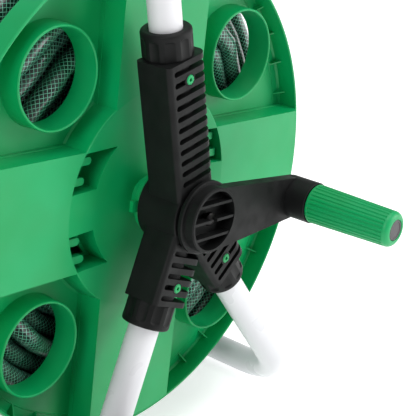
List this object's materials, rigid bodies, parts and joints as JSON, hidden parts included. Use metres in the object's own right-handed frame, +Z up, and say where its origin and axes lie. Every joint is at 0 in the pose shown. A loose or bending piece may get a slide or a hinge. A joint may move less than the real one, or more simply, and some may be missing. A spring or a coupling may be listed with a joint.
{
  "type": "garden hose reel cart",
  "caption": "Wheeled garden hose reel: a moulded drum full of hose turns on a bent-tube frame, wound by a crank with a spinning grip.",
  "frame": {"origin": "bottom centre of the whole cart's box, on the ground", "axes": "+Z up; +X towards the crank side, along the drum's axis; +Y towards the front foot, -Y towards the wheels and the operator"},
  "size_m": [0.4754, 0.41, 0.859],
  "materials": {
    "moulded_green": "injection-moulded polypropylene, satin sheen",
    "hose_green": "clear PVC over a mint yarn net on a near-black green core",
    "powder_white": "white powder-coated steel tube",
    "moulded_black": "fine-textured moulded polypropylene",
    "acetal_white": "natural acetal, satin",
    "zinc_steel": "bright zinc plating",
    "oxide_steel": "black oxide",
    "disc_grey": "moulded grey plastic",
    "seal_rubber": "matt nitrile rubber",
    "grip_foam": "matt foam sleeve"
  },
  "bodies": {
    "frame": {"axle_bracket_left": "moulded_black", "axle_bracket_right": "moulded_black", "axle_push_nut_left": "zinc_steel", "axle_push_nut_right": "zinc_steel", "axle_rod": "zinc_steel", "axle_spacer_left": "moulded_black", "axle_spacer_right": "moulded_black", "bearing_bush_left": "acetal_white", "bearing_bush_right": "acetal_white", "clamp_nut_front_left": "moulded_black", "clamp_nut_front_right": "moulded_black", "clamp_nut_handle_left": "moulded_black", "clamp_nut_handle_right": "moulded_black", "clamp_nut_rear_left": "moulded_black", "clamp_nut_rear_right": "moulded_black", "front_foot_tube": "powder_white", "handle_grip": "grip_foam", "handle_tube": "powder_white", "hub_bracket_left": "moulded_black", "hub_bracket_right": "moulded_black", "inlet_nipple": "moulded_black", "inlet_seal": "seal_rubber", "rear_leg_left": "powder_white", "rear_leg_right": "powder_white", "tube_lock_plug_front_left": "moulded_green", "tube_lock_plug_front_right": "moulded_green", "tube_lock_plug_handle_left": "moulded_green", "tube_lock_plug_handle_right": "moulded_green", "tube_lock_plug_rear_left": "moulded_green", "tube_lock_plug_rear_right": "moulded_green"},
    "drum": {"flange_left": "moulded_green", "flange_right": "moulded_green", "drum_core": "moulded_green", "hose": "hose_green", "hose_inlet_fitting": "moulded_black", "hose_connector": "moulded_black", "crank_arm": "moulded_black", "crank_bolt": "oxide_steel", "crank_washer": "zinc_steel", "crank_nut": "zinc_steel", "grip_spindle": "zinc_steel", "swivel_elbow": "moulded_black"},
    "grip": {"crank_grip": "moulded_green", "grip_end_disc": "disc_grey"},
    "right_wheel": {"wheel_right": "moulded_black", "wheel_cap_right": "moulded_green"},
    "left_wheel": {"wheel_left": "moulded_black", "wheel_cap_left": "moulded_green"}
  },
  "joints": [
    {"name": "drum_spin", "type": "hinge", "parent": "frame", "child": "drum", "pos_m": [0.0699, 0.00097, 0.251], "axis": [1, 0, 0], "continuous": true},
    {"name": "grip_spin", "type": "hinge", "parent": "drum", "child": "grip", "pos_m": [0.0699, 0.10657, 0.22836], "axis": [1, 0, 0], "continuous": true},
    {"name": "right_wheel_spin", "type": "hinge", "parent": "frame", "child": "right_wheel", "pos_m": [0.0699, -0.13903, 0.066], "axis": [1, 0, 0], "continuous": true},
    {"name": "left_wheel_spin", "type": "hinge", "parent": "frame", "child": "left_wheel", "pos_m": [0.0699, -0.13903, 0.066], "axis": [1, 0, 0], "continuous": true}
  ]
}
